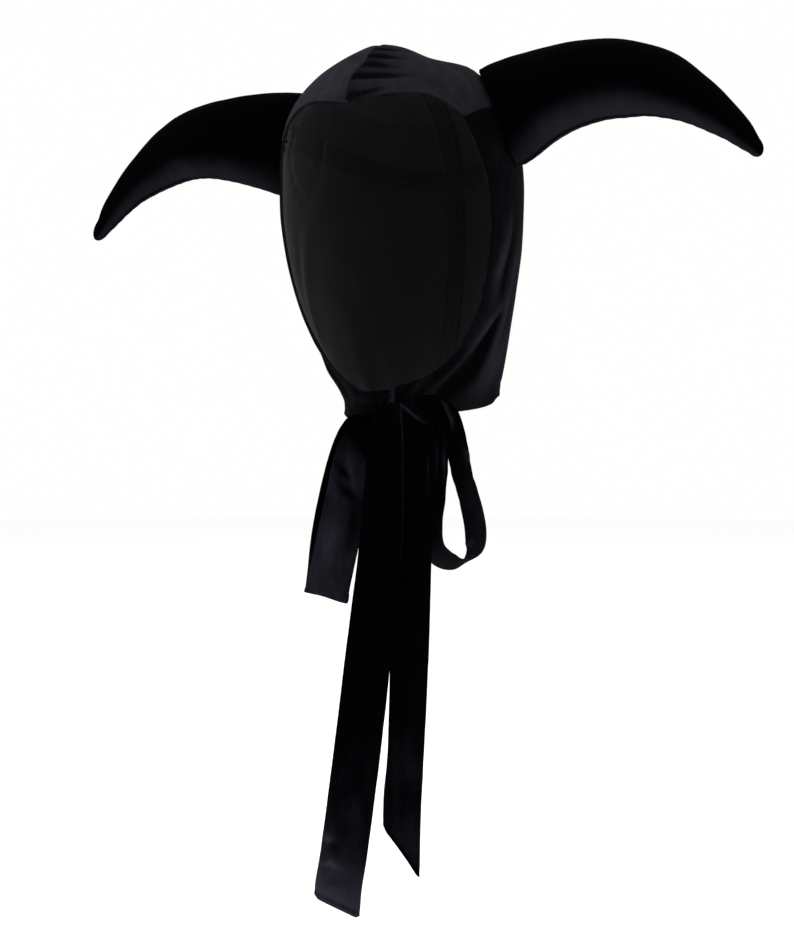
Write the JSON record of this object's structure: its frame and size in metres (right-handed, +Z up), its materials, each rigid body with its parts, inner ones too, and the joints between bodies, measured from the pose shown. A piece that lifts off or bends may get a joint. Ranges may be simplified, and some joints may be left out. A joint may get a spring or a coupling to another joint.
{
  "type": "horned velvet hood",
  "caption": "Close-fitting black velvet hood with a pointed brow, a gathered crown seam, stuffed horns at the temples that curve out and down, and flat ties knotted in a bow under the chin.",
  "frame": {"origin": "where the top of the wearer's head touches the inside of the crown", "axes": "+Z up along the head and the hanging ties, the face looks along -Y, +X towards the wearer's left, along the horns"},
  "size_m": [0.456, 0.1981, 0.5258],
  "materials": {
    "crown_velvet": "black stretch velvet, pulled tight and so a little lighter",
    "side_velvet": "black stretch velvet",
    "horn_velvet": "black stretch velvet over soft stuffing",
    "tie_velvet": "black stretch velvet, sewn as a flat tube"
  },
  "bodies": {
    "root": {"crown_left": "crown_velvet", "crown_right": "crown_velvet", "side_left": "side_velvet", "side_right": "side_velvet", "horn_left": "horn_velvet", "horn_right": "horn_velvet", "bow_knot": "tie_velvet", "bow_loop_left": "tie_velvet", "bow_loop_right": "tie_velvet", "tie_tail_left": "tie_velvet", "tie_tail_right": "tie_velvet"}
  },
  "joints": []
}
